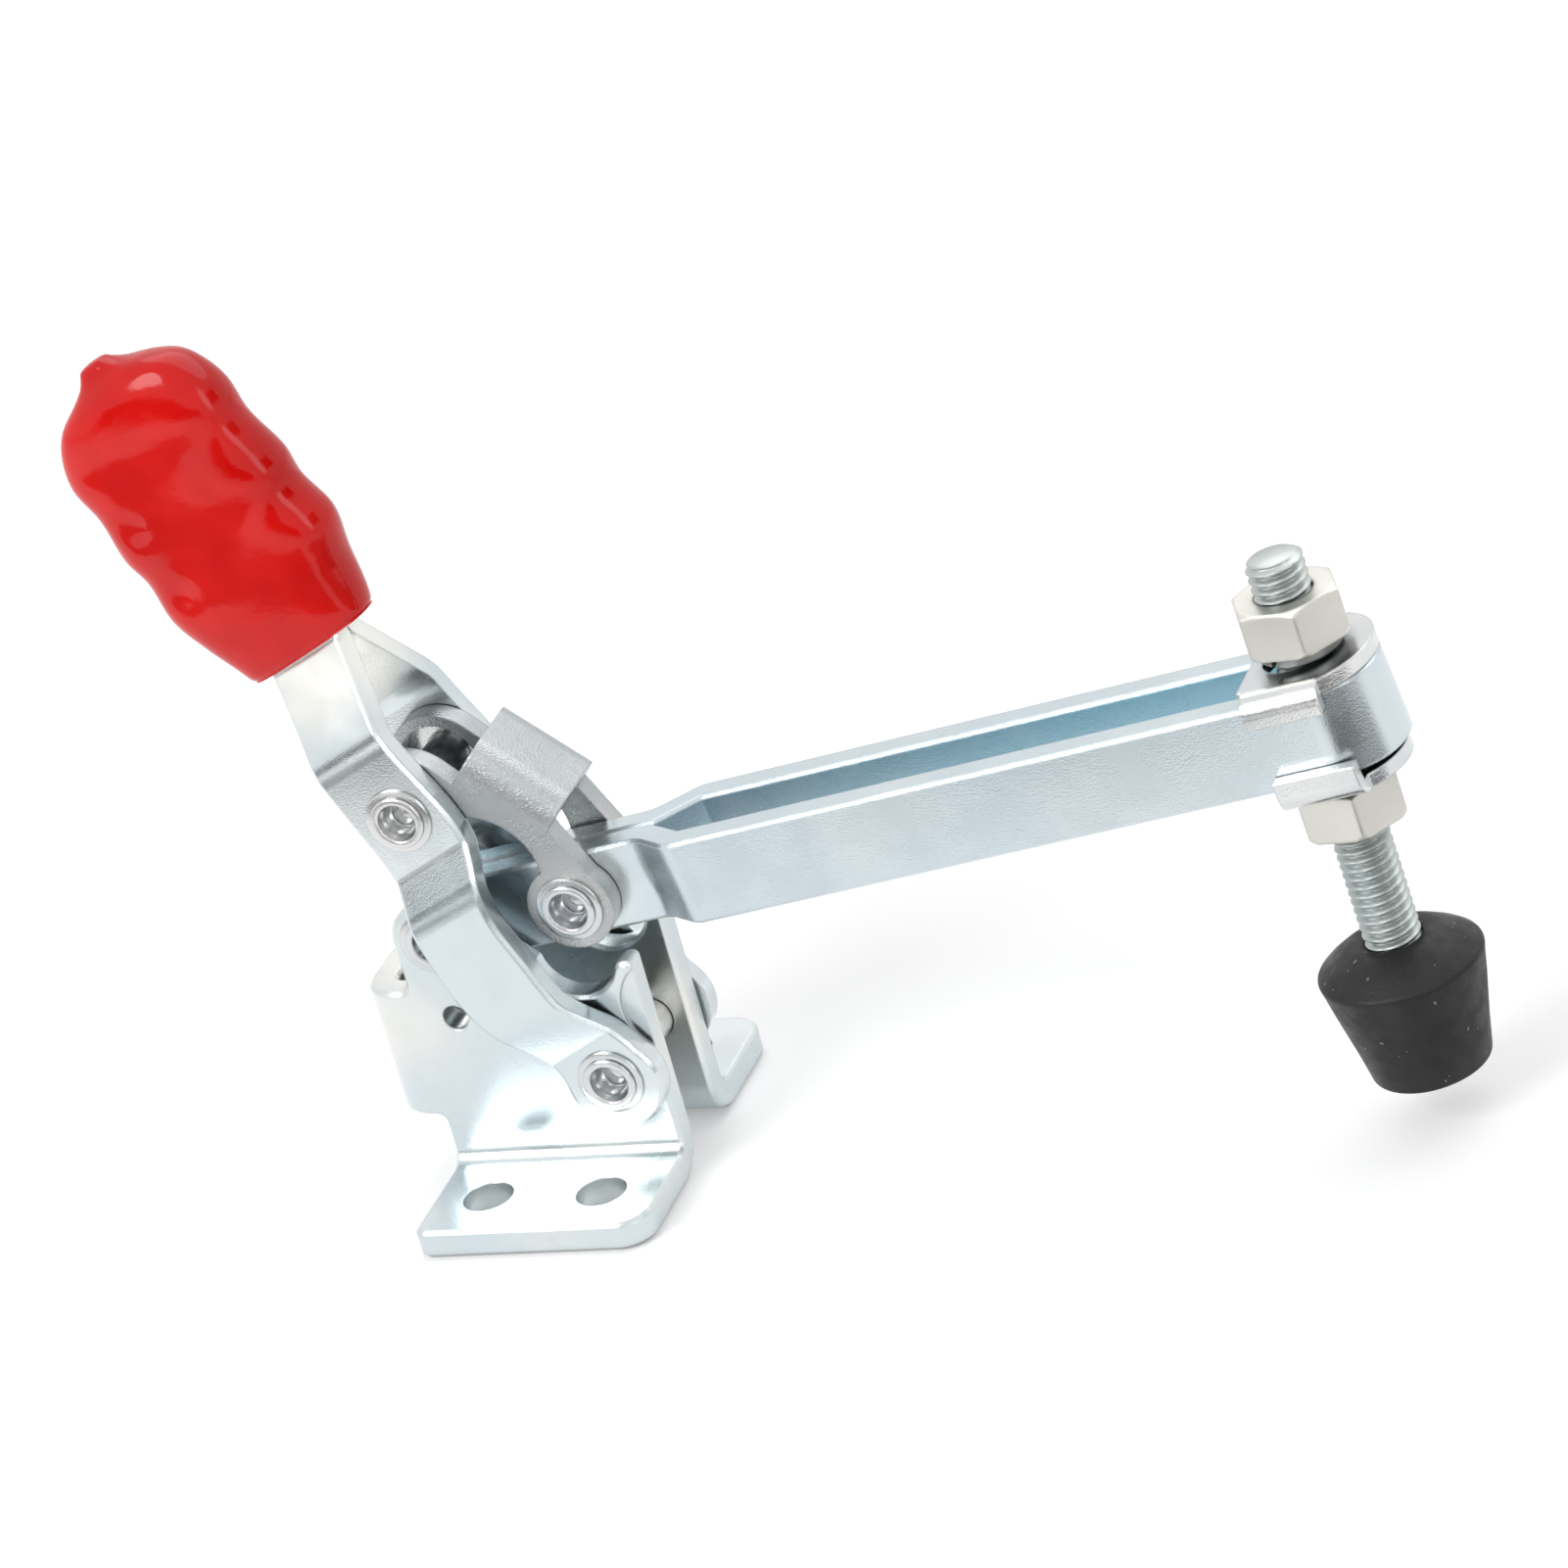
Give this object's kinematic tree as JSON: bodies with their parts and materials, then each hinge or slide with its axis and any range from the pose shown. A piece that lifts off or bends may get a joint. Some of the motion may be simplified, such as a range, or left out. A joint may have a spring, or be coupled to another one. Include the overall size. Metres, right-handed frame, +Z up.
{
  "type": "vertical handle toggle clamp",
  "caption": "Vertical-handle toggle clamp with flanged base, slotted hairpin arm, dipped red grip and an adjustable rubber-tipped spindle held by nuts and flanged washers.",
  "frame": {"origin": "centre of the four base bolt holes, on the bottom of the base flanges", "axes": "+X from the base toward the spindle, +Y toward the factory heads of the rivets, +Z up out of the mounting face"},
  "size_m": [0.1366, 0.0412, 0.0965],
  "materials": {
    "plated_sheet": "bright bluish zinc on pressed steel strip",
    "nut_plating": "warm white zinc, satin",
    "rivet_plating": "bright zinc, turned and rolled",
    "thread_plating": "grey-green zinc on rolled thread",
    "spring_steel": "dark plated spring steel",
    "red_vinyl": "glossy dipped vinyl",
    "black_rubber": "matte moulded rubber"
  },
  "bodies": {
    "base": {"base": "plated_sheet", "rivet_arm_base": "rivet_plating", "ring_arm_base": "rivet_plating"},
    "arm": {"arm": "plated_sheet"},
    "handle": {"handle_plate_near": "plated_sheet", "handle_plate_far": "plated_sheet", "grip": "red_vinyl", "rivet_handle_link": "rivet_plating", "ring_handle_link": "rivet_plating", "rivet_handle_base": "rivet_plating", "ring_handle_base": "rivet_plating"},
    "link": {"link": "plated_sheet", "rivet_link_arm": "rivet_plating", "ring_link_arm": "rivet_plating"},
    "carriage": {"upper_flange_washer": "plated_sheet", "lower_flange_washer": "plated_sheet", "lock_washer": "spring_steel", "upper_nut": "nut_plating", "lower_nut": "nut_plating"},
    "spindle": {"spindle": "thread_plating", "rubber_tip": "black_rubber"}
  },
  "joints": [
    {"name": "arm_swing", "type": "hinge", "parent": "base", "child": "arm", "pos_m": [-0.008, 0, 0.0298], "axis": [0, -1, 0], "range_deg": [-11, 79]},
    {"name": "handle_swing", "type": "hinge", "parent": "base", "child": "handle", "pos_m": [0.0088, 0, 0.01355], "axis": [0, -1, 0], "range_deg": [-4.8, 34.4]},
    {"name": "link_swing", "type": "hinge", "parent": "arm", "child": "link", "pos_m": [0.00829, 0, 0.03244], "axis": [0, -1, 0], "range_deg": [-1.9, 13.5]},
    {"name": "adjuster_slide", "type": "slide", "parent": "arm", "child": "carriage", "axis": [-0.9871, 0, -0.1599], "range_m": [0, 0.062]},
    {"name": "spindle_slide", "type": "slide", "parent": "carriage", "child": "spindle", "axis": [-0.0767, 0, 0.9971], "range_m": [-0.004, 0.013]}
  ],
  "couplings": [
    {"joint": "handle_swing", "follows": "arm_swing", "ratio": 0.435},
    {"joint": "link_swing", "follows": "arm_swing", "ratio": 0.17}
  ]
}
